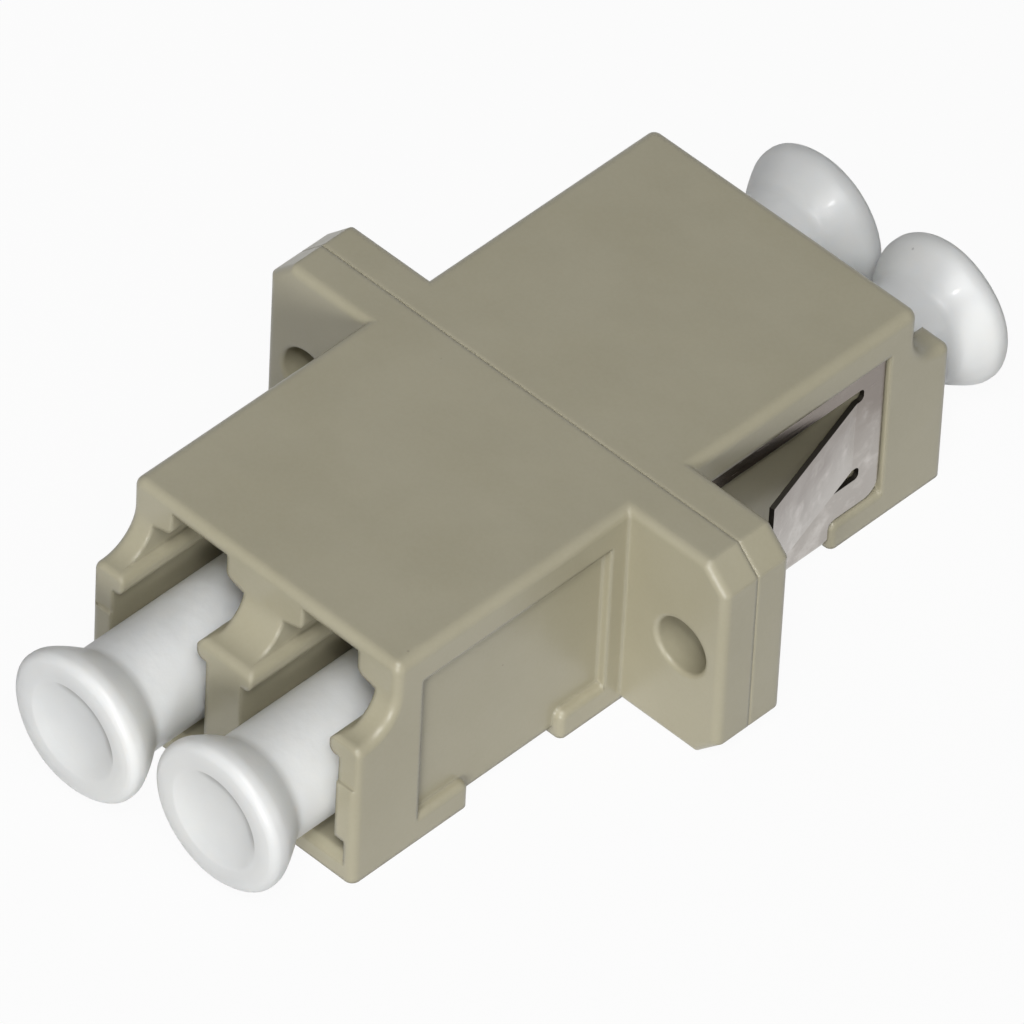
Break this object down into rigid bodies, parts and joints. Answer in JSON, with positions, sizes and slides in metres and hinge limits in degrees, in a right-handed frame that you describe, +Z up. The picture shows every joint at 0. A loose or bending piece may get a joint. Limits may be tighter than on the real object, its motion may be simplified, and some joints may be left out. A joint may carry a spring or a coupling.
{
  "type": "fibre optic adapter",
  "caption": "Flanged panel coupler for small square fibre-optic plugs, with side-by-side ports, a folded spring clip, split alignment sleeves and pull-out dust caps.",
  "frame": {"origin": "centre of the underside, in the plane where the housing halves are welded together", "axes": "+X across the ports, +Y along the ports from the front half to the rear half with the clip, +Z up"},
  "size_m": [0.0218, 0.0369, 0.0091],
  "materials": {
    "housing_plastic": "beige injection-moulded plastic, fine satin",
    "clip_steel": "stamped stainless spring strip, cloudy rolled surface",
    "sleeve_ceramic": null,
    "cap_plastic": "soft waxy white polyethylene"
  },
  "bodies": {
    "coupler": {"front_housing": "housing_plastic", "rear_housing": "housing_plastic", "spring_clip": "clip_steel", "left_split_sleeve": "sleeve_ceramic", "right_split_sleeve": "sleeve_ceramic"},
    "front_left_cap": {"front_left_dust_cap": "cap_plastic"},
    "front_right_cap": {"front_right_dust_cap": "cap_plastic"},
    "rear_left_cap": {"rear_left_dust_cap": "cap_plastic"},
    "rear_right_cap": {"rear_right_dust_cap": "cap_plastic"}
  },
  "joints": [
    {"name": "front_left_cap_pull", "type": "slide", "parent": "coupler", "child": "front_left_cap", "axis": [0, -1, 0], "range_m": [0, 0.014]},
    {"name": "front_right_cap_pull", "type": "slide", "parent": "coupler", "child": "front_right_cap", "axis": [0, -1, 0], "range_m": [0, 0.014]},
    {"name": "rear_left_cap_pull", "type": "slide", "parent": "coupler", "child": "rear_left_cap", "axis": [0, 1, 0], "range_m": [0, 0.014]},
    {"name": "rear_right_cap_pull", "type": "slide", "parent": "coupler", "child": "rear_right_cap", "axis": [0, 1, 0], "range_m": [0, 0.014]}
  ]
}
